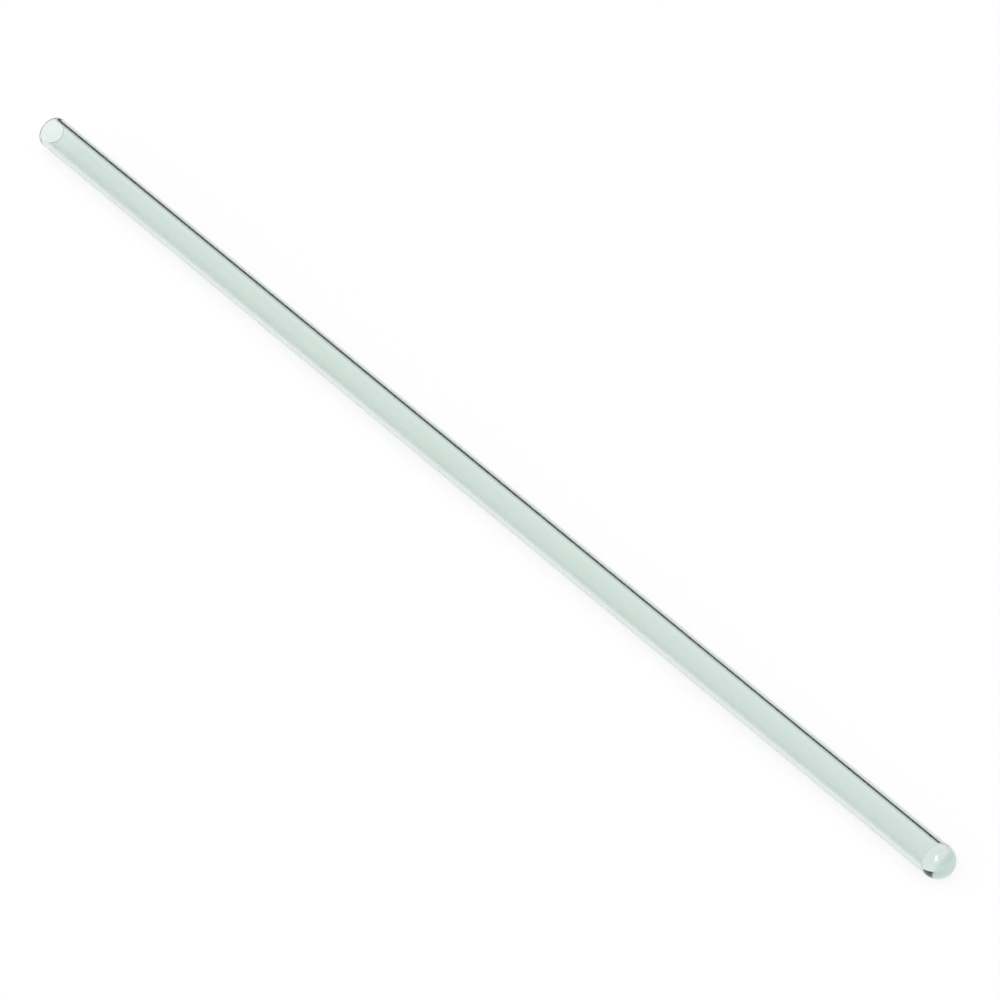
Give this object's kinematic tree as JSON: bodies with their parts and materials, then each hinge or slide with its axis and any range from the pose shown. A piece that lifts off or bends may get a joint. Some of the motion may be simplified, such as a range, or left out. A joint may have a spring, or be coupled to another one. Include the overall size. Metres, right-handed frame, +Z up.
{
  "type": "glass capillary tube",
  "caption": "Thin straight tube of clear drawn glass, sealed to a round bead at one end and open at the other, for melting point samples.",
  "frame": {"origin": "on the tube's axis, at mid-length", "axes": "+X along the axis towards the sealed tip, so the mouth faces -X; +Z up from the surface that the tube lies on"},
  "size_m": [0.1, 0.002, 0.002],
  "materials": {
    "clear_glass": "drawn and flame sealed, clear with a faint green tint"
  },
  "bodies": {
    "root": {"capillary_tube": "clear_glass"}
  },
  "joints": []
}
